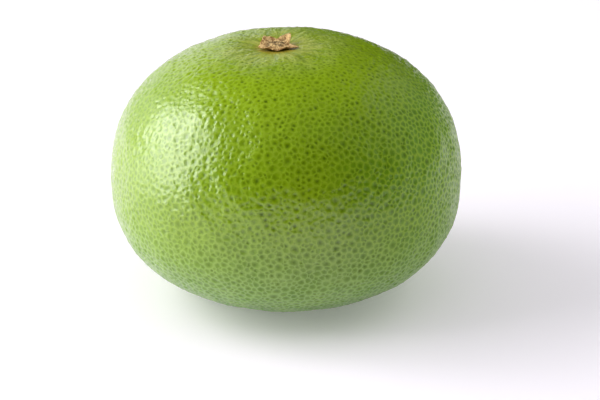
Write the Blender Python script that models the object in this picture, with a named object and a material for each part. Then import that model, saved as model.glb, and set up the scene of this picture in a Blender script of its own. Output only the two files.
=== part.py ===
"""A whole green pomelo, standing on its blossom end, with the stem button it was picked with.

Metres, +Z up. The origin is the middle of the flat spot that the fruit rests on, under the middle
of its box. The rind is one smooth closed solid. The button, which is the dried calyx round the
clipped end of the stalk, is the other: it sits in the dip at the stem end, a little off the middle.
"""

import math

import bmesh
import bpy
import numpy as np

# Fruit
FRUIT_WIDTH = 0.125  # across the widest part
CROWN_HEIGHT = 0.050  # from the widest part up to where the crown would close without its dip
BASE_HEIGHT = 0.042  # from the widest part down to where the base would close without its flat
CROWN_FULLNESS = 2.35  # power of the crown's curve: 2 is an ellipse, and more is squarer
BASE_FULLNESS = 2.45  # the same for the base
REST_SPOT_RADIUS = 0.013  # flat that the fruit stands on
SWELLS = (  # lobes round the waist: how many, how deep as a share of the radius, where in degrees
    (2, 0.0050, 35.0),
    (3, 0.0035, 200.0),
    (5, 0.0020, 80.0),
)

# Dip at the stem end
STEM_SIDE = -0.0034  # how far the stem end lies off the middle, along X
STEM_FRONT = 0.0  # the same, along Y
DIP_DEPTH = 0.0024
DIP_SPREAD = 0.0125  # distance from the stem at which the dip has faded to a third

# Stem button
BUTTON_GAP = 0.0003  # left between the button and the rind
DISC_RADIUS = 0.0042  # calyx disc, before its lobes
DISC_THICKNESS = 0.0016
FRONT_RISE = 0.0010  # how far the disc's rim curls up from the rind, toward -Y
BACK_RISE = 0.0021  # the same, toward +Y
RIM_THICKNESS = 0.0005  # calyx at the tips of its lobes
STALK_RADIUS = 0.0021  # clipped end of the stalk, in the middle of the calyx
STALK_HEIGHT = 0.0008  # how far it stands above the disc
LOBE_WIDTH = 28.0  # degrees to each side in which a lobe falls away
LOBES = (  # where in degrees, reach from the middle, rise of the tip above the rind
    (197.0, 0.0067, 0.0008),
    (268.0, 0.0046, 0.0001),
    (349.0, 0.0080, 0.0004),
    (53.0, 0.0065, 0.0036),
    (147.0, 0.0070, 0.0033),
)

# Fineness of the meshes
FRUIT_SIDES = 64
FRUIT_RINGS = 34
BUTTON_SIDES = 60
BUTTON_RINGS = 8


def base_half(height, radius):
    """Depth below the waist of the base's curve at this radius."""
    share = (radius / (FRUIT_WIDTH / 2)) ** BASE_FULLNESS
    return height * (1 - share) ** (1 / BASE_FULLNESS)


WAIST_HEIGHT = base_half(BASE_HEIGHT, REST_SPOT_RADIUS)  # of the widest part above the flat spot


def profile(climb):
    """Radius and height of the fruit's curve at an angle above (+) or below (-) its waist."""
    if climb > 0:
        half, power = CROWN_HEIGHT, CROWN_FULLNESS
    else:
        half, power = BASE_HEIGHT, BASE_FULLNESS
    across = abs(math.cos(climb)) / (FRUIT_WIDTH / 2)
    along = abs(math.sin(climb)) / half
    reach = (across**power + along**power) ** (-1 / power)
    return reach * math.cos(climb), WAIST_HEIGHT + reach * math.sin(climb)


def dip_at(x, y):
    """Depth of the stem end's dip at a place seen from above."""
    away = math.hypot(x - STEM_SIDE, y - STEM_FRONT)
    return DIP_DEPTH * math.exp(-((away / DIP_SPREAD) ** 2))


def shaped(x, y, z):
    """A point of the plain turned fruit, moved out by the swells and down by the dip."""
    turn = math.atan2(y, x)
    waist = (math.hypot(x, y) / (FRUIT_WIDTH / 2)) ** 2
    swell = 1 + waist * sum(
        depth * math.cos(count * turn - math.radians(at)) for count, depth, at in SWELLS
    )
    x *= swell
    y *= swell
    if z > WAIST_HEIGHT:
        crown = (z - WAIST_HEIGHT) / CROWN_HEIGHT
        z -= dip_at(x, y) * crown**2
    return x, y, z


def crown_height_at(x, y):
    """Height of the rind near the stem end, at a place seen from above."""
    share = (math.hypot(x, y) / (FRUIT_WIDTH / 2)) ** CROWN_FULLNESS
    crown = (1 - share) ** (1 / CROWN_FULLNESS)
    return WAIST_HEIGHT + crown * CROWN_HEIGHT - dip_at(x, y) * crown**2


def material(name, colour, roughness):
    """A plain material with one colour and one roughness."""
    made = bpy.data.materials.new(name)
    made.use_nodes = True
    shader = made.node_tree.nodes["Principled BSDF"]
    shader.inputs["Base Color"].default_value = (*colour, 1.0)
    shader.inputs["Roughness"].default_value = roughness
    shader.inputs["Metallic"].default_value = 0.0
    return made


def node(name, mesh_builder, finish):
    """Turns a finished bmesh into a smooth-shaded object of the scene."""
    mesh = bpy.data.meshes.new(name)
    mesh_builder.to_mesh(mesh)
    mesh_builder.free()
    mesh.shade_smooth()
    mesh.set_sharp_from_angle(angle=math.radians(40))
    mesh.materials.append(finish)
    made = bpy.data.objects.new(name, mesh)
    bpy.context.scene.collection.objects.link(made)
    return made


def build_fruit():
    """The fruit: its profile spun round Z, closed by the flat spot, then shaped."""
    form = bmesh.new()
    lowest = -math.atan2(WAIST_HEIGHT, REST_SPOT_RADIUS)
    climbs = np.linspace(lowest, math.pi / 2, FRUIT_RINGS + 1)
    line = []
    for climb in climbs[:-1]:
        radius, height = profile(climb)
        line.append(form.verts.new((radius, 0.0, height)))
    line[0].co = (REST_SPOT_RADIUS, 0.0, 0.0)
    line.append(form.verts.new((0.0, 0.0, WAIST_HEIGHT + CROWN_HEIGHT)))
    edges = [form.edges.new(pair) for pair in zip(line, line[1:])]
    bmesh.ops.spin(
        form,
        geom=line + edges,
        cent=(0, 0, 0),
        axis=(0, 0, 1),
        angle=2 * math.pi,
        steps=FRUIT_SIDES,
    )
    bmesh.ops.remove_doubles(form, verts=form.verts, dist=1e-6)
    bmesh.ops.dissolve_degenerate(form, edges=form.edges, dist=1e-7)
    rim = [edge for edge in form.edges if edge.is_boundary]
    bmesh.ops.edgeloop_fill(form, edges=rim)
    for vert in form.verts:
        vert.co = shaped(*vert.co)
    bmesh.ops.recalc_face_normals(form, faces=form.faces)
    return form


def lobe_at(turn):
    """How much of each lobe shows at this angle: 1 on its tip's line, 0 away from it."""
    shares = []
    for at, _reach, _rise in LOBES:
        off = (math.degrees(turn) - at + 180.0) % 360.0 - 180.0
        shares.append(max(0.0, 1.0 - abs(off) / LOBE_WIDTH) ** 0.8)
    return shares


def calyx_outline(turn):
    """Reach of the calyx and rise of its rim at this angle."""
    rim_rise = FRONT_RISE + (BACK_RISE - FRONT_RISE) * (1 + math.sin(turn)) / 2
    reach, rise = DISC_RADIUS, rim_rise
    for share, (_at, tip_reach, tip_rise) in zip(lobe_at(turn), LOBES):
        reach += share * (tip_reach - DISC_RADIUS)
        rise += share * (tip_rise - rim_rise)
    return reach, rise


def build_button():
    """The stem button: a lobed disc lying on the rind, with the stalk's end standing on it."""
    form = bmesh.new()
    under, over = [], []
    radii = [i / BUTTON_RINGS for i in range(1, BUTTON_RINGS + 1)]
    for share in radii:
        low_ring, high_ring = [], []
        for side in range(BUTTON_SIDES):
            turn = 2 * math.pi * side / BUTTON_SIDES
            reach, rise = calyx_outline(turn)
            out = share * reach
            x = STEM_SIDE + out * math.cos(turn)
            y = STEM_FRONT + out * math.sin(turn)
            seat = crown_height_at(x, y) + BUTTON_GAP + rise * share**2
            thick = DISC_THICKNESS + (RIM_THICKNESS - DISC_THICKNESS) * share**2
            stalk = STALK_HEIGHT / (1 + (out / STALK_RADIUS) ** 8)
            low_ring.append(form.verts.new((x, y, seat)))
            high_ring.append(form.verts.new((x, y, seat + thick + stalk)))
        under.append(low_ring)
        over.append(high_ring)
    middle = crown_height_at(STEM_SIDE, STEM_FRONT) + BUTTON_GAP
    low_middle = form.verts.new((STEM_SIDE, STEM_FRONT, middle))
    top = middle + DISC_THICKNESS + STALK_HEIGHT
    high_middle = form.verts.new((STEM_SIDE, STEM_FRONT, top))
    shells = [
        ([low_middle], under[0]),
        *zip(under, under[1:]),
        (under[-1], over[-1]),
        *zip(over, over[1:]),
        (over[0], [high_middle]),
    ]
    for inner, outer in shells:
        for side in range(BUTTON_SIDES):
            after = (side + 1) % BUTTON_SIDES
            corners = [
                inner[side % len(inner)],
                outer[side % len(outer)],
                outer[after % len(outer)],
                inner[after % len(inner)],
            ]
            form.faces.new(list(dict.fromkeys(corners)))
    bmesh.ops.recalc_face_normals(form, faces=form.faces)
    return form


def main():
    """Clears the scene and builds the two pieces."""
    for old in list(bpy.data.objects):
        bpy.data.objects.remove(old)
    rind = material("rind", (0.27, 0.42, 0.035), 0.4)
    husk = material("husk", (0.40, 0.24, 0.10), 0.85)
    fruit = node("fruit", build_fruit(), rind)
    button = node("stem_button", build_button(), husk)
    button.parent = fruit


main()
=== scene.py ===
# Whole green pomelo: a rind dimpled by its oil glands and a dried stem button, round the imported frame
import math

import bmesh
import bpy
import numpy as np
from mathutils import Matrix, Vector


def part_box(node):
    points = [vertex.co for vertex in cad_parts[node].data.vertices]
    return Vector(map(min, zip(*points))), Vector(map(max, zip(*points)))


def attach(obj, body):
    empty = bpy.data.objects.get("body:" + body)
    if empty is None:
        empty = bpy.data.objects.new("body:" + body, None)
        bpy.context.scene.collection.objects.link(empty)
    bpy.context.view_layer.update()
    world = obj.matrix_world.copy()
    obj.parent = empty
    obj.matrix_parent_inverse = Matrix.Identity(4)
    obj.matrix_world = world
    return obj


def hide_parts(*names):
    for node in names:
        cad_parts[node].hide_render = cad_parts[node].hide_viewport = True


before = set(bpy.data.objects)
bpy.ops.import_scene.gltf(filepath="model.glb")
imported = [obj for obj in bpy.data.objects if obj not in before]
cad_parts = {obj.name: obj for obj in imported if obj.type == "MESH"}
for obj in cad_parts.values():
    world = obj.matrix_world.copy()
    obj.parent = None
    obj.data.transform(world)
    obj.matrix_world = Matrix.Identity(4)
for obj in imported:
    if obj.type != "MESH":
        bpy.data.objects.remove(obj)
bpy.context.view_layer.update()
print("frame loaded:", sorted(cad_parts))

mm = 0.001
fruitLow, fruitHigh = (np.array(corner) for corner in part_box("fruit"))

# the fruit's own form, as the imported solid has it
fruitForm = {
    "radius": (fruitHigh - fruitLow)[:2].mean() / 2,
    "crown": 50.0 * mm,  # waist up to where the crown would close without its dip
    "base": 42.0 * mm,  # waist down to where the base would close without its flat
    "crownFullness": 2.35,
    "baseFullness": 2.45,
    "restRadius": 13.0 * mm,  # of the flat spot that it stands on
    "swells": ((2, 0.0050, 35.0), (3, 0.0035, 200.0), (5, 0.0020, 80.0)),  # count, depth, degrees
    "stem": np.array((-3.4, 0.0)) * mm,
    "dipDepth": 2.4 * mm,  # of the hollow round the stem
    "dipSpread": 12.5 * mm,
}

# oil glands and the finer relief of the rind
rind = {
    "glands": 11000,
    "seed": 11,
    "jitter": 0.31,  # of the distance between glands
    "evening": 0.5,  # how far each gland then moves to the middle of its neighbours
    "crowding": 0.7,  # how much closer the glands lie at the stem end
    "crowdReach": 24.0 * mm,
    "depth": 0.165,  # of a pit, as a share of its cell's radius
    "ringShare": 0.46,  # where the pit's wall starts, as a share of the way to the cell's corner
    "ringLimits": (0.34, 0.70),  # of that share, where a cell is drawn out
    "ringDepth": 0.36,  # of the ring, as a share of the pit's depth
    "calmReach": (5.0 * mm, 20.0 * mm),  # from the stem, where the pits grow to their full depth
    "calmDepth": 0.25,  # share of the depth that they keep beside the stem
    "pressedHeight": 0.6 * mm,  # below which the base is flattened by the fruit's weight
    "pressedDepth": 0.3,  # share of the depth that pits keep there
    "largeShare": 0.6,  # of the glands that are large and dark
    "largeSize": (0.95, 1.3),  # size of a large gland's cell beside a mean one
    "smallSize": (0.6, 0.85),
    "largeDot": 0.52,  # radius of a large dark gland, as a share of its cell's radius
    "smallDot": 0.38,
    "largeTone": (0.45, 1.0),  # how dark a large gland is, from the palest to the darkest
    "smallTone": (0.0, 0.4),
    "furrows": 13,  # creases that run out from the stem
    "furrowDepth": 0.224 * mm,
    "furrowStart": (3.0 * mm, 9.0 * mm),  # from the stem, where they come in
    "furrowEnd": (11.0 * mm, 27.0 * mm),  # and where they die out
    "rollLength": 15.0 * mm,  # of the broad unevenness under the glands
    "rollDepth": 0.16 * mm,
    "pebbleLength": 2.8 * mm,
    "pebbleDepth": 0.10 * mm,
    "pebbleReach": (8.0 * mm, 32.0 * mm),  # from the stem, where the pebbling grows to its full depth
    "pebbleNear": 0.35,  # share of it left beside the stem
    "shadeLow": 4.0 * mm,  # the paler, duller underside, whose pale mint is partly a painted reflection of the white table: all of it below this height, none above the next
    "shadeHigh": 50.0 * mm,
    "bloomReach": (4.0 * mm, 8.0 * mm, 12.0 * mm, 33.0 * mm),  # from the stem: starts, full, full, ends
    "collarReach": (5.5 * mm, 8.5 * mm),  # yellowed skin right under the calyx: full, ends
    "collarStrength": 0.7,
    "blushReach": (6.0 * mm, 24.0 * mm),  # its faint blush further out
    "blushStrength": 0.28,
    "highlightSideReach": (-50.0 * mm, -12.0 * mm),  # along X: the cheek where the left panel's highlight falls, on which the glands are paled as a painted highlight: all of it, none of it
    "ripeAndLitSide": (0.0 * mm, 55.0 * mm),  # along X: where the skin is riper and yellower and where it is still green; the yellower left is partly painted light from the left
    "ripeAndLitSideShare": 0.55,
    "ripeCrown": (74.0 * mm, 89.0 * mm),  # height at which the crown starts to ripen and is riper
    "ripeCrownShare": 0.43,
    "scarReach": (1.6 * mm, 3.0 * mm),  # corky mark in the middle of the base: full, ends
}


# half-height of the base's curve at a radius: the superellipse solved for its height
def baseDepthAt(form, radius):
    share = (radius / form["radius"]) ** form["baseFullness"]
    return form["base"] * (1 - share) ** (1 / form["baseFullness"])


waist = baseDepthAt(fruitForm, fruitForm["restRadius"])


# surface of the smooth fruit in each unit direction from the middle of its waist:
# the reach is the superellipse's, the swells widen it round the waist, the dip lowers the crown
# round the stem, and the flat spot stops it at the floor
def fruitSurface(direction):
    form = fruitForm
    upper = direction[:, 2] > 0
    half = np.where(upper, form["crown"], form["base"])
    power = np.where(upper, form["crownFullness"], form["baseFullness"])
    across = np.hypot(direction[:, 0], direction[:, 1])
    reach = ((across / form["radius"]) ** power + (np.abs(direction[:, 2]) / half) ** power) ** (-1 / power)
    point = direction * reach[:, None]
    turn = np.arctan2(direction[:, 1], direction[:, 0])
    girth = (np.hypot(point[:, 0], point[:, 1]) / form["radius"]) ** 2
    lobes = sum(depth * np.cos(count * turn - math.radians(at)) for count, depth, at in form["swells"])
    point[:, :2] *= (1 + girth * lobes)[:, None]
    stemAway = np.linalg.norm(point[:, :2] - form["stem"], axis=1)
    rise = np.clip(point[:, 2] / form["crown"], 0, 1)
    point[:, 2] += waist - form["dipDepth"] * np.exp(-((stemAway / form["dipSpread"]) ** 2)) * rise**2
    point[:, 2] = np.maximum(point[:, 2], 0.0)
    return point


# outward normals of that surface: the cross product of two small steps along it
def fruitNormals(direction):
    side = np.cross(direction, np.where(np.abs(direction[:, 2:]) < 0.9, [[0.0, 0, 1]], [[1.0, 0, 0]]))
    side /= np.linalg.norm(side, axis=1, keepdims=True)
    up = np.cross(side, direction)
    step = 0.004  # radians, about a quarter of a millimetre along the skin
    here = fruitSurface(direction)
    along = fruitSurface(unit(direction + step * side)) - here
    over = fruitSurface(unit(direction + step * up)) - here
    normal = unit(np.cross(along, over))
    return normal * np.sign((normal * direction).sum(1, keepdims=True))


# each row at length 1
def unit(rows):
    return rows / np.linalg.norm(rows, axis=-1, keepdims=True)


# smooth random relief, mostly between -1 and 1: the sum of many plane waves of about one length, each in
# its own direction
def waves(points, length, seed, count=28):
    random = np.random.default_rng(seed)
    push = unit(random.normal(size=(count, 3))) * (2 * math.pi / length)
    push *= random.uniform(0.75, 1.3, (count, 1))
    phase = random.uniform(0, 2 * math.pi, count)
    return np.sin(points @ push.T + phase).sum(1) / math.sqrt(count)


# directions of the glands: a spiral of golden-angle steps, spaced so that each has the same share
# of the real surface, then each moved a little at random
def spreadGlands():
    random = np.random.default_rng(rind["seed"])
    climb = np.linspace(-math.pi / 2, math.pi / 2, 2001)
    line = np.stack([np.cos(climb), np.zeros_like(climb), np.sin(climb)], 1)
    place = fruitSurface(line)
    band = np.linalg.norm(np.diff(place, axis=0), axis=1) * (place[1:, 0] + place[:-1, 0]) / 2
    fromStem = np.linalg.norm(place[1:] - place[-1], axis=1)
    band *= 1 + rind["crowding"] * np.exp(-((fromStem / rind["crowdReach"]) ** 2))
    area = np.concatenate([[0], np.cumsum(band)])
    index = np.arange(rind["glands"])
    height = np.interp((index + 0.5) / rind["glands"], area / area[-1], climb)
    turn = index * math.pi * (3 - math.sqrt(5))
    direction = np.stack([np.cos(height) * np.cos(turn), np.cos(height) * np.sin(turn), np.sin(height)], 1)
    spacing = math.sqrt(4 * math.pi / rind["glands"])
    push = random.normal(size=direction.shape)
    push -= (push * direction).sum(1, keepdims=True) * direction
    return unit(direction + push * spacing * rind["jitter"])


# triangles between neighbouring directions: the faces of their convex hull, turned outwards
def neighbourTriangles(direction):
    mesh = bpy.data.meshes.new("hull")
    mesh.from_pydata(direction.tolist(), [], [])
    hull = bmesh.new()
    hull.from_mesh(mesh)
    bmesh.ops.convex_hull(hull, input=hull.verts, use_existing_faces=False)
    hull.to_mesh(mesh)
    hull.free()
    mesh.calc_loop_triangles()
    corners = np.empty(len(mesh.loop_triangles) * 3, np.int32)
    mesh.loop_triangles.foreach_get("vertices", corners)
    bpy.data.meshes.remove(mesh)
    corners = corners.reshape(-1, 3)
    a, b, c = direction[corners[:, 0]], direction[corners[:, 1]], direction[corners[:, 2]]
    inward = (np.cross(b - a, c - a) * a).sum(1) < 0
    corners[inward] = corners[inward][:, ::-1]
    return corners


# each gland moved part of the way to the mean of its neighbours, so that no two crowd each other
def evenedOut(direction, share):
    corners = neighbourTriangles(direction)
    used = np.unique(corners)
    direction = direction[used]
    corners = np.searchsorted(used, corners)
    total = np.zeros_like(direction)
    for a, b in ((0, 1), (1, 2), (2, 0)):
        np.add.at(total, corners[:, a], direction[corners[:, b]])
    return unit(unit(total) * share + direction * (1 - share))


farFromStem = 90.0 * mm  # added below the waist, so that the base counts as far from the stem


# rind mesh: every gland is a cell with a centre, an inner ring and corners shared with its
# neighbours. The centre and the ring are sunk, and the corners stand as the ridges between pits
def rindMesh():
    random = np.random.default_rng(rind["seed"] + 1)
    direction = evenedOut(spreadGlands(), rind["evening"])
    corners = neighbourTriangles(direction)
    glands = len(direction)
    large = random.random(glands) < rind["largeShare"]
    largeSize, smallSize = (random.uniform(*rind[name], glands) for name in ("largeSize", "smallSize"))
    size = np.where(large, largeSize, smallSize)
    weight = 1 / size[corners]
    dual = unit((direction[corners] * weight[..., None]).sum(1))  # where three cells meet

    glandPoint = fruitSurface(direction)
    dualPoint = fruitSurface(dual)
    away = np.linalg.norm(glandPoint[corners] - dualPoint[:, None], axis=2)  # gland to corner
    cellTotal = np.bincount(corners.ravel(), away.ravel(), glands)
    cellRadius = cellTotal / np.bincount(corners.ravel(), minlength=glands)
    dotRadius = cellRadius * np.where(large, rind["largeDot"], rind["smallDot"])
    dotRadius *= random.uniform(0.85, 1.15, glands)

    # inner ring, where the floor of the pit turns to its wall: one vertex for each corner of each triangle
    share = np.clip(rind["ringShare"] * cellRadius[corners] / away, *rind["ringLimits"])[..., None]
    ring = unit(direction[corners] * (1 - share) + dual[:, None] * share).reshape(-1, 3)

    everyDirection = np.concatenate([direction, ring, dual])
    point = fruitSurface(everyDirection)
    normal = fruitNormals(everyDirection)

    # pits: the centres and rings sink, less round the stem and where the fruit lies on its base
    depth = cellRadius * rind["depth"] * random.uniform(0.75, 1.25, glands)
    sink = np.concatenate([-depth, -rind["ringDepth"] * depth[corners].ravel(), np.zeros(len(dual))])
    stemAway = np.linalg.norm(point[:, :2] - fruitForm["stem"], axis=1)
    stemAway += farFromStem * (point[:, 2] < waist)
    calm = smooth(stemAway, *rind["calmReach"])
    pressed = smooth(point[:, 2], 0.0, rind["pressedHeight"])
    sink *= rind["calmDepth"] + (1 - rind["calmDepth"]) * calm
    sink *= rind["pressedDepth"] + (1 - rind["pressedDepth"]) * pressed
    point += normal * sink[:, None]

    # relief: broad rolls, finer pebbling and the creases that run out from the stem
    relief = rind["rollDepth"] * waves(point, rind["rollLength"], 5)
    pebbled = rind["pebbleNear"] + (1 - rind["pebbleNear"]) * smooth(stemAway, *rind["pebbleReach"])
    relief += rind["pebbleDepth"] * waves(point, rind["pebbleLength"], 6) * pebbled
    turn = np.arctan2(point[:, 1] - fruitForm["stem"][1], point[:, 0] - fruitForm["stem"][0])
    uneven = 1.3 * np.sin(2 * turn + 1) + 0.9 * np.sin(5 * turn)  # spaces the creases irregularly
    crease = np.abs(np.sin(rind["furrows"] / 2 * turn + uneven))
    near = smooth(stemAway, *rind["furrowStart"]) * (1 - smooth(stemAway, *rind["furrowEnd"]))
    relief -= rind["furrowDepth"] * near * (1 - crease) ** 2
    point += normal * (relief * pressed)[:, None]
    point[:, 2] = np.maximum(point[:, 2], 0.0)

    # faces: for each edge of each triangle, the slice of its gland between this corner and the next
    triangles = len(corners)
    ringAt = glands + np.arange(triangles * 3).reshape(triangles, 3)
    dualAt = glands + triangles * 3 + np.arange(triangles)
    a, b = corners.ravel(), np.roll(corners, -1, axis=1).ravel()
    tri = np.repeat(np.arange(triangles), 3)
    slot = np.tile(np.arange(3), triangles)
    key = a.astype(np.int64) * glands + b
    order = np.argsort(key)
    twin = order[np.searchsorted(key[order], b.astype(np.int64) * glands + a)]  # the edge from its other side
    ringHere = ringAt[tri, slot]
    ringOver = ringAt[tri[twin], (slot[twin] + 1) % 3]
    dualHere, dualOver = dualAt[tri], dualAt[tri[twin]]
    fan = np.stack([a, ringOver, ringHere], 1)
    wallA = np.stack([ringHere, ringOver, dualOver], 1)
    wallB = np.stack([ringHere, dualOver, dualHere], 1)
    faces = np.concatenate([fan, wallA, wallB])
    owner = np.concatenate([a, a, a])

    # colour zones, and how far each corner lies from its gland's middle, in dot radii
    reachOf = np.linalg.norm(point[faces] - point[owner][:, None], axis=2) / dotRadius[owner][:, None]
    largeTone, smallTone = (random.uniform(*rind[name], glands) for name in ("largeTone", "smallTone"))
    tone = np.where(large, largeTone, smallTone)
    x, z = point[:, 0], point[:, 2]
    bloomStart, bloomFull, bloomFades, bloomEnd = rind["bloomReach"]
    collar = rind["collarStrength"] * (1 - smooth(stemAway, *rind["collarReach"]))
    ripeAndLitSide = rind["ripeAndLitSideShare"] * (1 - smooth(x, *rind["ripeAndLitSide"]))
    scarAway = np.hypot(x, point[:, 1]) + 0.5 * mm * waves(point, 2.5 * mm, 8)
    scarAway += z * 20  # height counts twenty times, which keeps the mark on the base
    zones = {
        "calm": calm,
        "bloomAndSheen": smooth(stemAway, bloomStart, bloomFull) * (1 - smooth(stemAway, bloomFades, bloomEnd)),
        "collar": collar + rind["blushStrength"] * (1 - smooth(stemAway, *rind["blushReach"])),
        "border": np.concatenate([np.zeros(glands + triangles * 3), np.ones(triangles)]),
        "shade": 1 - smooth(z, rind["shadeLow"], rind["shadeHigh"]),
        "scar": 1 - smooth(scarAway, *rind["scarReach"]),
        "highlightSide": 1 - smooth(x, *rind["highlightSideReach"]),
        # yellower towards the left cheek: partly riper skin, partly painted light from the left
        "ripenessAndLight": ripeAndLitSide + rind["ripeCrownShare"] * smooth(z, *rind["ripeCrown"]),
    }
    return point, faces, reachOf, tone[owner], zones


# 0 below low, 1 above high, and a smooth step between
def smooth(value, low, high):
    share = np.clip((value - low) / (high - low), 0, 1)
    return share * share * (3 - 2 * share)


# a smooth-shaded object from whole arrays of points and triangles
def meshObject(name, points, faces, material):
    mesh = bpy.data.meshes.new(name)
    mesh.vertices.add(len(points))
    mesh.vertices.foreach_set("co", points.astype(np.float32).ravel())
    mesh.loops.add(faces.size)
    mesh.loops.foreach_set("vertex_index", faces.astype(np.int32).ravel())
    mesh.polygons.add(len(faces))
    mesh.polygons.foreach_set("loop_start", np.arange(0, faces.size, faces.shape[1], dtype=np.int32))
    mesh.update(calc_edges=True)
    mesh.validate()
    mesh.shade_smooth()
    mesh.materials.append(material)
    made = bpy.data.objects.new(name, mesh)
    bpy.context.scene.collection.objects.link(made)
    return made


# sRGB hex to the linear colour that a shader takes
def linear(code):
    parts = [int(code[i : i + 2], 16) / 255 for i in (1, 3, 5)]
    return tuple(c / 12.92 if c <= 0.04045 else ((c + 0.055) / 1.055) ** 2.4 for c in parts) + (1.0,)


# one node with its settings and links, which gives back one of its outputs. Stops is a ramp's list
# of places and colours
def addNode(tree, kind, inputs=None, output=0, stops=None, **settings):
    made = tree.nodes.new(kind)
    for name, value in settings.items():
        setattr(made, name, value)
    if stops:
        ramp = made.color_ramp
        while len(ramp.elements) < len(stops):
            ramp.elements.new(0.5)
        for element, (place, colour) in zip(ramp.elements, stops):
            element.position = place
            element.color = linear(colour)
    for name, value in (inputs or {}).items():
        if isinstance(value, bpy.types.NodeSocket):
            tree.links.new(value, made.inputs[name])
        else:
            made.inputs[name].default_value = value
    return made.outputs[output]


# waxy green citrus rind: a thin cuticle of wax over a leathery skin packed with oil glands. To the
# eye that is a soft broad gloss, dark wet-looking dots, and paler dry skin in ridges between them
rindLook = {
    "green": "#608B08",
    "yellowGreen": "#8AA703",
    "gland": "#526E00",
    "ridge": "#90AE22",
    "mintAndReflection": "#598622",  # on the paler underside, from its darker patches; partly the skin's own colour, partly a painted reflection of the white table
    "paleMintAndReflection": "#7BA048",  # to its lighter ones
    # the ridges on the underside: paler and bluer, a painted reflection of the white table
    "mintRidgeAndReflection": "#93B765",
    "bloomAndSheen": "#A6B060",  # dusty wax round the stem, partly real dust and partly a painted sheen in place of the gloss
    "collar": "#AC9C34",  # yellowed skin right under the calyx
    "wrinkleAndShade": "#5A7A1A",  # painted shade in the bottom of a wrinkle
    "scar": "#7A5A2C",  # corky mark left by the flower, under the fruit
    "broadLength": 36.0 * mm,  # size of the noises: of the ripening, of its patches and of the skin's grain
    "patchLength": 7.0 * mm,
    "grainLength": 0.55 * mm,  # coarser than the real grain, so that it shows
    "tinyLength": 1.15 * mm,  # spacing of the small glands between the large ones
    "broadRipening": 0.8,  # how much each noise adds to the ripeness
    "patchRipening": 0.35,
    "ripeEdge": (0.575, 1.575),  # ripeness at which the skin is green and at which it is yellow-green
    "dotEdge": (0.10, 1.3),  # where a gland's colour starts and ends to fade, in dot radii
    "dotRagged": 0.35,  # how far the grain frays that edge
    "dotShift": -0.17,  # and what centres the fraying
    "dotStrength": (0.12, 1.0),  # weakest and strongest gland
    "patchEdge": (0.36, 0.62),  # how the glands weaken and strengthen from patch to patch
    "dotPatches": (0.55, 1.2),
    "highlightDots": 0.4,  # share of a gland's colour left where the left highlight falls: painted highlight
    "lowDots": 0.85,  # share of a gland's colour left on the underside
    "tinyEdge": (0.12, 0.34),  # where a small gland's colour fades, as a share of its spacing
    "tinyStrength": 0.42,
    "ridgeEdge": (0.1, 0.95),  # where the pale ridge starts and is full, from the pit's wall to the border
    "ridgeStrength": 0.7,
    "mintPatches": (0.36, 0.64),
    "wrinkles": 8.0,  # noise cells from the stem's axis out: about six times as many wrinkles go round
    "wrinkleRun": 130.0,  # and noise cells in a metre of the way out, so that one runs about 8 mm
    "streakEdge": (0.36, 0.52),
    "streakStrength": 0.5,
    "dustyEdge": (0.38, 0.68),  # how the dust on the bloom thins and thickens from patch to patch
    "dustyStrength": (0.1, 0.8),
    "roughness": 0.30,  # of the skin under the wax
    "bloomRoughness": 0.70,
    "grainRoughness": 0.08,
    "ior": 1.25,  # weak, because the wax coat carries most of the gloss
    "wax": 1.0,  # weight of the clear wax coat
    "glandWax": 0.92,  # the same over an open gland
    "lowGlandWax": 0.0,  # and over one on the underside
    "lowGlandEdge": 0.3,  # how far down the change is over, as a share of the way to the bare underside
    "lowWax": 0.6,  # share of the wax left on the underside
    "shadyWax": 0.3,  # share of it left on the greener, shaded cheek, which keeps its dust
    "shadyEdge": 0.4,  # ripeness from which the wax is whole
    "dustyWax": 0.15,  # share of its gloss left where it is dusty
    "waxRoughness": 0.15,
    "waxIor": 1.55,  # a little above real wax, which is near 1.45, for a gloss as strong as a fresh fruit's
    "grainDepth": 0.10 * mm,
    "tinyDepth": 0.06 * mm,
    "wrinkleDepth": 0.12 * mm,
}


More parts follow.
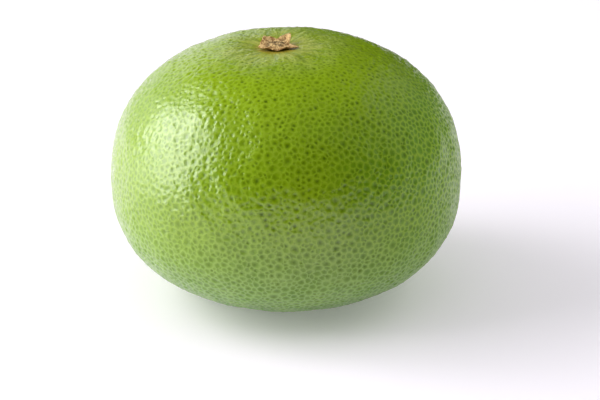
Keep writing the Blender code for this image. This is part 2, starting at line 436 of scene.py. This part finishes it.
def rindMaterial():
    look = rindLook
    material = bpy.data.materials.new("waxyCitrusRind")
    material.use_nodes = True
    tree = material.node_tree
    shader = tree.nodes["Principled BSDF"]
    place = addNode(tree, "ShaderNodeTexCoord", output="Object")
    reach, tone, calm, ring, collar, border, shade, scar, highlightSide, ripenessAndLight = (
        addNode(tree, "ShaderNodeAttribute", output="Fac", attribute_name=name)
        for name in ("glandReach", "glandTone", "calm", "bloomAndSheen", "collar", "border", "shade", "scar",
                     "highlightSide", "ripenessAndLight")
    )
    broad, patch, grain = (
        addNode(tree, "ShaderNodeTexNoise", {"Vector": place, "Scale": 1 / look[length], "Detail": detail})
        for length, detail in (("broadLength", 1.0), ("patchLength", 3.0), ("grainLength", 2.0))
    )

    # skin: green, and yellower towards the crown and the left cheek, partly riper skin and partly painted
    # light from the left, and pale mint underneath, partly a painted reflection of the white table
    riper = addNode(tree, "ShaderNodeMath", {0: broad, 1: look["broadRipening"], 2: ripenessAndLight},
                    operation="MULTIPLY_ADD")
    mixed = addNode(tree, "ShaderNodeMath", {0: patch, 1: look["patchRipening"], 2: riper},
                    operation="MULTIPLY_ADD")
    ripe = addNode(tree, "ShaderNodeMapRange", {"Value": mixed, "From Min": look["ripeEdge"][0],
                                                "From Max": look["ripeEdge"][1]})
    skin = addNode(tree, "ShaderNodeMix", {0: ripe, 6: linear(look["green"]), 7: linear(look["yellowGreen"])},
                   output=2, data_type="RGBA")
    # pale mint underneath: partly the skin's own colour, partly a painted reflection of the white table
    mintAndReflection = addNode(tree, "ShaderNodeValToRGB", {"Fac": patch},
                   stops=list(zip(look["mintPatches"], (look["mintAndReflection"], look["paleMintAndReflection"]))))
    lowSkinAndReflection = addNode(tree, "ShaderNodeMix", {0: shade, 6: skin, 7: mintAndReflection}, output=2, data_type="RGBA")

    # ridges between the pits: paler, dry skin; on the underside paler and bluer, which is a painted
    # reflection of the white table
    ridge = addNode(tree, "ShaderNodeMapRange",
                    {"Value": border, "From Min": look["ridgeEdge"][0], "From Max": look["ridgeEdge"][1],
                     "To Min": 0.0, "To Max": look["ridgeStrength"]}, interpolation_type="SMOOTHSTEP")
    ridgeColour = addNode(tree, "ShaderNodeMix",
                          {0: shade, 6: linear(look["ridge"]), 7: linear(look["mintRidgeAndReflection"])},
                          output=2, data_type="RGBA")
    pale = addNode(tree, "ShaderNodeMix", {0: ridge, 6: lowSkinAndReflection, 7: ridgeColour}, output=2, data_type="RGBA")

    # glands: dark in the middle of each pit, ragged at the edge, and fading out round the stem
    ragged = addNode(tree, "ShaderNodeMath", {0: grain, 1: look["dotRagged"], 2: look["dotShift"]},
                     operation="MULTIPLY_ADD")
    edge = addNode(tree, "ShaderNodeMath", {0: reach, 1: ragged}, operation="ADD")
    dot = addNode(tree, "ShaderNodeMapRange",
                  {"Value": edge, "From Min": look["dotEdge"][0], "From Max": look["dotEdge"][1],
                   "To Min": 1.0, "To Max": 0.0}, interpolation_type="SMOOTHSTEP")
    strength = addNode(tree, "ShaderNodeMapRange", {"Value": tone, "To Min": look["dotStrength"][0],
                                                    "To Max": look["dotStrength"][1]})
    patchy = addNode(tree, "ShaderNodeMapRange",
                     {"Value": patch, "From Min": look["patchEdge"][0], "From Max": look["patchEdge"][1],
                      "To Min": look["dotPatches"][0], "To Max": look["dotPatches"][1]})
    paler = addNode(tree, "ShaderNodeMapRange", {"Value": shade, "To Min": 1.0, "To Max": look["lowDots"]})
    # glands paled towards the left, where the highlight falls: painted highlight
    highlightPaled = addNode(tree, "ShaderNodeMapRange",
                       {"Value": highlightSide, "To Min": 1.0, "To Max": look["highlightDots"]})
    weakened = addNode(tree, "ShaderNodeMath", {0: paler, 1: highlightPaled}, operation="MULTIPLY")
    uneven = addNode(tree, "ShaderNodeMath", {0: patchy, 1: weakened}, operation="MULTIPLY")
    dotFull = addNode(tree, "ShaderNodeMath", {0: dot, 1: strength}, operation="MULTIPLY")
    dotShare = addNode(tree, "ShaderNodeMath", {0: dotFull, 1: uneven}, operation="MULTIPLY", use_clamp=True)
    tiny = addNode(tree, "ShaderNodeTexVoronoi", {"Vector": place, "Scale": 1 / look["tinyLength"]})
    tinyDot = addNode(tree, "ShaderNodeMapRange",
                      {"Value": tiny, "From Min": look["tinyEdge"][0], "From Max": look["tinyEdge"][1],
                       "To Min": look["tinyStrength"], "To Max": 0.0})
    bothDots = addNode(tree, "ShaderNodeMath", {0: dotShare, 1: tinyDot}, operation="MAXIMUM")
    dotNear = addNode(tree, "ShaderNodeMath", {0: bothDots, 1: calm}, operation="MULTIPLY")

    # wrinkles that run out from the stem: noise round its axis, drawn out along the way
    fromStem = addNode(tree, "ShaderNodeVectorMath", {0: place, 1: (*fruitForm["stem"], 0.0)},
                       operation="SUBTRACT")
    flat = addNode(tree, "ShaderNodeVectorMath", {0: fromStem, 1: (1.0, 1.0, 0.0)}, operation="MULTIPLY")
    turned = addNode(tree, "ShaderNodeVectorMath", {0: flat}, operation="NORMALIZE")
    around = addNode(tree, "ShaderNodeVectorMath", {0: turned, 1: (look["wrinkles"],) * 3},
                     operation="MULTIPLY")
    along = addNode(tree, "ShaderNodeVectorMath", {0: place, 1: (look["wrinkleRun"],) * 3},
                    operation="MULTIPLY")
    wrinkleAt = addNode(tree, "ShaderNodeVectorMath", {0: around, 1: along}, operation="ADD")
    wrinkle = addNode(tree, "ShaderNodeTexNoise", {"Vector": wrinkleAt, "Scale": 1.0, "Detail": 2.0})
    # the wrinkle's groove, and the painted shade that darkens its bottom
    wrinkleAndShade = addNode(tree, "ShaderNodeMapRange",
                     {"Value": wrinkle, "From Min": look["streakEdge"][0], "From Max": look["streakEdge"][1],
                      "To Min": look["streakStrength"], "To Max": 0.0}, interpolation_type="SMOOTHSTEP")
    streakNear = addNode(tree, "ShaderNodeMath", {0: wrinkleAndShade, 1: ring}, operation="MULTIPLY")
    dusty = addNode(tree, "ShaderNodeMapRange",
                    {"Value": patch, "From Min": look["dustyEdge"][0], "From Max": look["dustyEdge"][1],
                     "To Min": look["dustyStrength"][0], "To Max": look["dustyStrength"][1]})
    # dusty bloom round the stem: real dust, with a painted sheen in place of the gloss that the dust takes
    # away
    bloomAndSheen = addNode(tree, "ShaderNodeMath", {0: ring, 1: dusty}, operation="MULTIPLY")

    # each mark in turn is mixed over the skin
    colour = pale
    for share, mark in ((bloomAndSheen, "bloomAndSheen"), (collar, "collar"), (streakNear, "wrinkleAndShade"), (dotNear, "gland"),
                        (scar, "scar")):
        colour = addNode(tree, "ShaderNodeMix", {0: share, 6: colour, 7: linear(look[mark])},
                         output=2, data_type="RGBA")
    tree.links.new(colour, shader.inputs["Base Color"])

    rough = addNode(tree, "ShaderNodeMapRange", {"Value": bloomAndSheen, "To Min": look["roughness"],
                                                 "To Max": look["bloomRoughness"]})
    roughGrain = addNode(tree, "ShaderNodeMath", {0: grain, 1: look["grainRoughness"], 2: rough},
                         operation="MULTIPLY_ADD")
    tree.links.new(roughGrain, shader.inputs["Roughness"])
    shader.inputs["IOR"].default_value = look["ior"]
    shader.inputs["Coat Roughness"].default_value = look["waxRoughness"]
    shader.inputs["Coat IOR"].default_value = look["waxIor"]

    # wax: a little thinner over the open glands and gone from those underneath, worn on the underside,
    # and dull on the shaded cheek and where it is dusty
    openWax = addNode(tree, "ShaderNodeMapRange", {"Value": shade, "From Max": look["lowGlandEdge"],
                                                   "To Min": look["glandWax"], "To Max": look["lowGlandWax"]})
    dotWax = addNode(tree, "ShaderNodeMapRange", {"Value": dotNear, "To Min": look["wax"], "To Max": openWax})
    wornWax = addNode(tree, "ShaderNodeMapRange", {"Value": shade, "To Min": 1.0, "To Max": look["lowWax"]})
    shadyWax = addNode(tree, "ShaderNodeMapRange", {"Value": ripenessAndLight, "From Max": look["shadyEdge"],
                                                    "To Min": look["shadyWax"]})
    dullWax = addNode(tree, "ShaderNodeMapRange", {"Value": bloomAndSheen, "To Min": 1.0, "To Max": look["dustyWax"]})
    waxed = dotWax
    for left in (wornWax, shadyWax, dullWax):
        waxed = addNode(tree, "ShaderNodeMath", {0: waxed, 1: left}, operation="MULTIPLY")
    tree.links.new(waxed, shader.inputs["Coat Weight"])

    # fine relief on top of the modelled pits: the grain of the wax, the small glands and the wrinkles
    grainHeight = addNode(tree, "ShaderNodeMath", {0: grain, 1: look["grainDepth"]}, operation="MULTIPLY")
    tinyHeight = addNode(tree, "ShaderNodeMath", {0: tinyDot, 1: -look["tinyDepth"], 2: grainHeight},
                         operation="MULTIPLY_ADD")
    height = addNode(tree, "ShaderNodeMath", {0: streakNear, 1: -look["wrinkleDepth"], 2: tinyHeight},
                     operation="MULTIPLY_ADD")
    bump = addNode(tree, "ShaderNodeBump", {"Height": height, "Strength": 1.0, "Distance": 1.0})
    tree.links.new(bump, shader.inputs["Normal"])
    tree.links.new(bump, shader.inputs["Coat Normal"])
    return material


skinMaterial = rindMaterial()
points, faces, reachOf, tone, zones = rindMesh()
skin = meshObject("rind", points, faces, skinMaterial)
attribute = skin.data.attributes.new("glandReach", "FLOAT", "CORNER")
attribute.data.foreach_set("value", reachOf.astype(np.float32).ravel())
attribute = skin.data.attributes.new("glandTone", "FLOAT", "FACE")
attribute.data.foreach_set("value", tone.astype(np.float32))
for name, value in zones.items():
    skin.data.attributes.new(name, "FLOAT", "POINT").data.foreach_set("value", value.astype(np.float32))
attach(skin, "root")
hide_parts("fruit")
print("rind:", len(points), "vertices", len(faces), "triangles")

# dried calyx and the broken end of the stalk. Lobes: degrees round, reach and height of the tip in
# metres, and half the degrees that the lobe takes up
calyx = {
    "sides": 320,
    "rings": 60,
    "ringCrowding": 0.85,  # below 1 the rings lie closer together towards the rim
    "discRadius": 4.2 * mm,
    "rimLift": 0.9 * mm,  # of the rim in front, above the rind
    "backLift": 1.1 * mm,  # how much higher the rim stands at the back
    "seatGap": 0.04 * mm,  # under the rim, where it lies on the rind
    "rootDepth": 0.25 * mm,  # how far the underside is sunk towards the middle, into the rind it grew from
    "rootMiddle": 0.20 * mm,  # and at the very middle
    "thickness": 1.7 * mm,
    "rimThickness": 0.45 * mm,
    "edgeShare": 0.08,  # of the thickness, left at the rounded edge
    "stalkRadius": 2.4 * mm,
    "stalkHeight": 0.7 * mm,
    "pithRadius": 1.25 * mm,  # hollow in the middle of the broken stalk
    "pithDepth": 0.60 * mm,
    "lobes": (
        (196.0, 6.9 * mm, 1.0 * mm, 42.0),
        (272.0, 4.2 * mm, 0.4 * mm, 28.0),
        (346.0, 8.2 * mm, 0.20 * mm, 20.0),
        (49.0, 7.3 * mm, 3.3 * mm, 40.0),
        (134.0, 6.9 * mm, 2.6 * mm, 44.0),
    ),
    "lobePoint": 0.95,  # 1 draws a lobe to a straight-sided point, less to a blunter one
    "leastLift": 0.02 * mm,
    "liftPower": 2.2,  # how late on the way out the rim curls up
    "taperPower": 1.6,  # how late the thickness tapers
    "edgePower": 14,  # how tightly the edge is rounded
    "leastThickness": 0.18 * mm,
    "rimWaver": ((0.16 * mm, 3.1 * mm), (0.10 * mm, 1.1 * mm)),  # in and out: depth and length
    "liftWaver": (0.16 * mm, 2.2 * mm),  # up and down
    "coarse": (0.18 * mm, 1.9 * mm),  # lumps of the wood, from the coarsest to the finest
    "medium": (0.08 * mm, 0.8 * mm),
    "fine": (0.02 * mm, 0.33 * mm),
    "fibre": (0.06 * mm, 1.1 * mm),  # ribs that run out along the lobes
    "fibreCircle": 9.0 * mm,  # radius on which their width is measured
    "fibreRun": 0.35,  # how slowly they change on the way out
    "crack": (0.30 * mm, 2.4 * mm),
    "crackWidth": 0.07,  # as a share of the height of the noise that it follows
    "heartReach": (2.4 * mm, 4.6 * mm),  # from the middle, where rough wood turns to smoother lobes
    "outerRough": 0.45,  # share of the lumps left on the lobes
    "outerCracks": 0.2,
}


# height of the smooth rind beside the stem at a place seen from above
def crownHeight(x, y):
    form = fruitForm
    share = (np.hypot(x, y) / form["radius"]) ** form["crownFullness"]
    crown = (1 - share) ** (1 / form["crownFullness"])
    away = np.hypot(x - form["stem"][0], y - form["stem"][1])
    dip = form["dipDepth"] * np.exp(-((away / form["dipSpread"]) ** 2)) * crown**2
    return waist + crown * form["crown"] - dip


# calyx: a polar grid, turn by share of the way to the rim. The rim's reach is the disc's, drawn out
# to each lobe's tip. The underside rises from the rind by the rim's lift times a power of the share.
# The top adds a thickness that thins to the rim, the stalk's stump, and noise for the cracked wood
def calyxMesh():
    sides, rings = calyx["sides"], calyx["rings"]
    stemX, stemY = fruitForm["stem"]
    turn = np.linspace(0, 2 * math.pi, sides, endpoint=False)[:, None]
    share = (np.arange(1, rings + 1) / rings)[None, :] ** calyx["ringCrowding"]
    reach = np.full_like(turn, calyx["discRadius"])
    rim = calyx["rimLift"] + calyx["backLift"] * (1 + np.sin(turn)) / 2
    lift = rim.copy()
    for at, tipReach, tipLift, halfWidth in calyx["lobes"]:
        off = (np.degrees(turn) - at + 180) % 360 - 180
        part = np.clip(1 - np.abs(off) / halfWidth, 0, 1) ** calyx["lobePoint"]
        reach += part * (tipReach - calyx["discRadius"])
        lift += part * (tipLift - rim)
    circle = np.concatenate([np.cos(turn), np.sin(turn), 0 * turn], 1) * 5 * mm
    for seed, (depth, length) in enumerate(calyx["rimWaver"], 21):
        reach += depth * waves(circle, length, seed)[:, None]
    lift += calyx["liftWaver"][0] * waves(circle, calyx["liftWaver"][1], 23)[:, None]
    out = share * reach
    x = stemX + out * np.cos(turn)
    y = stemY + out * np.sin(turn)
    under = crownHeight(x, y) + calyx["seatGap"] - calyx["rootDepth"] * (1 - share**2)
    under += np.maximum(lift, calyx["leastLift"]) * share ** calyx["liftPower"]

    # thickness: the disc's, then the stalk's stump with its hollow pith, then the wood's relief
    taper = 1 - share ** calyx["taperPower"]
    thick = calyx["rimThickness"] + (calyx["thickness"] - calyx["rimThickness"]) * taper
    stump = calyx["stalkHeight"] / (1 + (out / calyx["stalkRadius"]) ** 7)
    stump -= calyx["pithDepth"] * np.exp(-((out / calyx["pithRadius"]) ** 2))
    flatPlace = np.stack([x, y, 0 * x], -1).reshape(-1, 3)
    spokes = np.stack([np.cos(turn) + 0 * share, np.sin(turn) + 0 * share], -1) * calyx["fibreCircle"]
    alongSpokes = np.concatenate([spokes, out[..., None] * calyx["fibreRun"]], -1).reshape(-1, 3)
    coarse, medium, fine, crack, fibre = (
        waves(at, calyx[name][1], seed).reshape(x.shape)
        for name, at, seed in (("coarse", flatPlace, 31), ("medium", flatPlace, 32), ("fine", flatPlace, 33),
                               ("crack", flatPlace, 34), ("fibre", alongSpokes, 35))
    )
    crack = np.exp(-((crack / calyx["crackWidth"]) ** 2))
    inner = 1 - smooth(out, *calyx["heartReach"])
    rough = calyx["coarse"][0] * coarse + calyx["medium"][0] * medium + calyx["fine"][0] * fine
    rough *= calyx["outerRough"] + (1 - calyx["outerRough"]) * inner
    rough -= calyx["crack"][0] * crack * (calyx["outerCracks"] + (1 - calyx["outerCracks"]) * inner)
    rough += calyx["fibre"][0] * fibre * (1 - inner)
    body = np.maximum(thick + stump + rough, calyx["leastThickness"])
    rounded = np.sqrt(np.clip(1 - share ** calyx["edgePower"], 0, 1))
    body *= rounded * (1 - calyx["edgeShare"]) + calyx["edgeShare"]
    over = under + body
    hollowShade = 0.45 - 0.24 * coarse - 0.16 * medium - 0.06 * fine + 0.55 * crack  # 0 on tops, 1 in cracks: painted shade, darker in the low spots and cracks

    # points: the top, the underside, and the middle of each
    rootZ = crownHeight(stemX, stemY) - calyx["rootMiddle"]
    top = np.stack([x, y, over], -1).reshape(-1, 3)
    bottom = np.stack([x, y, under], -1).reshape(-1, 3)
    points = np.concatenate([top, bottom, [[stemX, stemY, over[:, 0].mean()], [stemX, stemY, rootZ]]])
    here = np.arange(sides * rings).reshape(sides, rings)
    there = np.roll(here, -1, axis=0)
    low, lowThere = here + sides * rings, there + sides * rings
    quads = np.concatenate([
        np.stack([here[:, :-1], here[:, 1:], there[:, 1:], there[:, :-1]], -1).reshape(-1, 4),
        np.stack([low[:, :-1], lowThere[:, :-1], lowThere[:, 1:], low[:, 1:]], -1).reshape(-1, 4),
        np.stack([here[:, -1], low[:, -1], lowThere[:, -1], there[:, -1]], -1),
    ])
    topMiddle, lowMiddle = np.full(sides, len(points) - 2), np.full(sides, len(points) - 1)
    triangles = np.concatenate([
        quads[:, [0, 1, 2]],
        quads[:, [0, 2, 3]],
        np.stack([topMiddle, here[:, 0], there[:, 0]], -1),
        np.stack([lowMiddle, lowThere[:, 0], low[:, 0]], -1),
    ])
    # the underside and the two middle points are set dark: painted shade under the calyx
    hollowShade = np.concatenate([np.clip(hollowShade, 0, 1).ravel(), np.full(sides * rings, 0.8), [0.7, 0.8]])
    outer = np.concatenate([np.tile(share, (2 * sides, 1)).ravel(), [0.0, 0.0]])
    return points, triangles, hollowShade, outer


# dried sepals and stalk: cork-dry plant fibre, with no gloss, pale and brown in blotches, and darker in its
# cracks, hollows and underside, which is painted shade
calyxLook = {
    "pale": "#D6B47A",
    "tan": "#A8814C",
    "brown": "#7A5426",
    # the darkest brown: painted shade in the stalk's cracks
    "shadowBrown": "#42290C",
    "heart": "#8E7850",  # weathered grey-brown wood of the broken stalk
    "sepalStops": (0.36, 0.55, 0.75),  # darkness at which the lobes turn pale, tan and brown
    "woodStops": (0.30, 0.46, 0.72),  # and the stalk pale, heart and dark
    "heartEdge": (0.45, 0.75),  # share of the way out where stalk turns to lobes
    "blotchLength": 2.2 * mm,
    "blotchShare": 0.6,
    "grainLength": 0.25 * mm,
    "grainShare": 0.22,
    "grainDepth": 0.07 * mm,
    "roughness": 0.82,
}


def calyxMaterial():
    look = calyxLook
    material = bpy.data.materials.new("driedCalyx")
    material.use_nodes = True
    tree = material.node_tree
    shader = tree.nodes["Principled BSDF"]
    place = addNode(tree, "ShaderNodeTexCoord", output="Object")
    hollowShade, outer = (
        addNode(tree, "ShaderNodeAttribute", output="Fac", attribute_name=name)
        for name in ("hollowShade", "outer")
    )
    blotch, grain = (
        addNode(tree, "ShaderNodeTexNoise", {"Vector": place, "Scale": 1 / look[length], "Detail": 3.0})
        for length in ("blotchLength", "grainLength")
    )
    # blotches of real tone, with painted shade added in the cracks and hollows
    blotchAndShade = addNode(tree, "ShaderNodeMath", {0: blotch, 1: look["blotchShare"], 2: hollowShade},
                   operation="MULTIPLY_ADD")
    grainy = addNode(tree, "ShaderNodeMath", {0: grain, 1: look["grainShare"], 2: blotchAndShade},
                     operation="MULTIPLY_ADD")
    darkness = addNode(tree, "ShaderNodeMath", {0: grainy, 1: 0.5}, operation="MULTIPLY")
    sepal = addNode(tree, "ShaderNodeValToRGB", {"Fac": darkness},
                    stops=list(zip(look["sepalStops"], (look["pale"], look["tan"], look["brown"]))))
    wood = addNode(tree, "ShaderNodeValToRGB", {"Fac": darkness},
                   stops=list(zip(look["woodStops"], (look["pale"], look["heart"], look["shadowBrown"]))))
    share = addNode(tree, "ShaderNodeMapRange", {"Value": outer, "From Min": look["heartEdge"][0],
                                                 "From Max": look["heartEdge"][1]})
    colour = addNode(tree, "ShaderNodeMix", {0: share, 6: wood, 7: sepal}, output=2, data_type="RGBA")
    tree.links.new(colour, shader.inputs["Base Color"])
    shader.inputs["Roughness"].default_value = look["roughness"]
    height = addNode(tree, "ShaderNodeMath", {0: grain, 1: look["grainDepth"]}, operation="MULTIPLY")
    bump = addNode(tree, "ShaderNodeBump", {"Height": height, "Strength": 1.0, "Distance": 1.0})
    tree.links.new(bump, shader.inputs["Normal"])
    return material


buttonPoints, buttonFaces, hollowShade, outer = calyxMesh()
button = meshObject("driedCalyx", buttonPoints, buttonFaces, calyxMaterial())
for name, value in (("hollowShade", hollowShade), ("outer", outer)):
    button.data.attributes.new(name, "FLOAT", "POINT").data.foreach_set("value", value.astype(np.float32))
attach(button, "root")
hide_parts("stem_button")
print("calyx:", len(buttonPoints), "vertices", len(buttonFaces), "triangles")

# camera: a long lens looking down on the fruit, which stands a little left of and above the middle
view = {
    "elevation": 22.6,  # degrees
    "distance": 780.0 * mm,
    "lens": 130.0,
    "right": 4.8 * mm,  # aim, beside the middle of the fruit's waist
    "down": 9.2 * mm,
}
scene = bpy.context.scene
cameraData = bpy.data.cameras.new("camera")
cameraData.lens = view["lens"]
camera = bpy.data.objects.new("camera", cameraData)
scene.collection.objects.link(camera)
scene.camera = camera
climb = math.radians(view["elevation"])
toCamera = np.array([0, -math.cos(climb), math.sin(climb)])
upward = np.array([0, math.sin(climb), math.cos(climb)])
camera.location = (0, 0, waist) + toCamera * view["distance"] - upward * view["down"] + (view["right"], 0, 0)
camera.rotation_euler = (math.pi / 2 - climb, 0, 0)

# pale table, lit from below like a light table, so that it stays white outside the soft contact shadow
table = {"halfWidth": 3.0, "drop": 0.1 * mm, "tone": "#F0EAF4", "roughness": 0.9, "glow": 0.18}
floorMesh = bpy.data.meshes.new("table")
reach, drop = table["halfWidth"], -table["drop"]
floorCorners = [(-reach, -reach, drop), (reach, -reach, drop), (reach, reach, drop), (-reach, reach, drop)]
floorMesh.from_pydata(floorCorners, [], [(0, 1, 2, 3)])
floor = bpy.data.objects.new("table", floorMesh)
scene.collection.objects.link(floor)
paper = bpy.data.materials.new("matteWhiteTable")
paper.use_nodes = True
paperShader = paper.node_tree.nodes["Principled BSDF"]
paperShader.inputs["Base Color"].default_value = linear(table["tone"])
paperShader.inputs["Roughness"].default_value = table["roughness"]
paperShader.inputs["Emission Color"].default_value = (1, 1, 1, 1)
paperShader.inputs["Emission Strength"].default_value = table["glow"]
floorMesh.materials.append(paper)

# soft panels: degrees round from the camera (left is negative), degrees up, metres away, width and
# height in metres, and how bright the panel's face is
panels = {
    "leftPanel": (-86, 22, 0.9, 0.76, 0.88, 4.5),
    "leftFrontPanel": (-72, 12, 0.9, 0.35, 0.60, 2.0),
    "leftBackPanel": (-108, 36, 0.9, 0.45, 0.60, 3.4),
    "backPanel": (-150, 12, 1.2, 1.2, 0.65, 0.9),
    "rightPanel": (115, 24, 1.1, 1.4, 0.9, 0.30),
    "rightFill": (100, 30, 1.0, 1.3, 1.0, 1.25),
    "topFill": (0, 89.9, 1.5, 2.4, 2.4, 0.72),
}
for name, (turn, rise, away, width, height, glow) in panels.items():
    around, up = math.radians(turn), math.radians(rise)
    direction = Vector((math.sin(around) * math.cos(up), -math.cos(around) * math.cos(up), math.sin(up)))
    data = bpy.data.lights.new(name, "AREA")
    data.shape = "RECTANGLE"
    data.size, data.size_y = width, height
    data.energy = glow * math.pi * width * height
    light = bpy.data.objects.new(name, data)
    scene.collection.objects.link(light)
    light.location = Vector((0, 0, waist)) + direction * away
    light.rotation_euler = (-direction).to_track_quat("-Z", "Y").to_euler()
    light.visible_glossy = "Fill" not in name  # the fills only lift the shadows, and leave no gloss
worldGlow = 0.01  # almost none, so that the panels alone shape the light
world = bpy.data.worlds.new("studio")
world.use_nodes = True
world.node_tree.nodes["Background"].inputs["Color"].default_value = (1, 1, 1, 1)
world.node_tree.nodes["Background"].inputs["Strength"].default_value = worldGlow
scene.world = world
scene.view_settings.view_transform = "Standard"
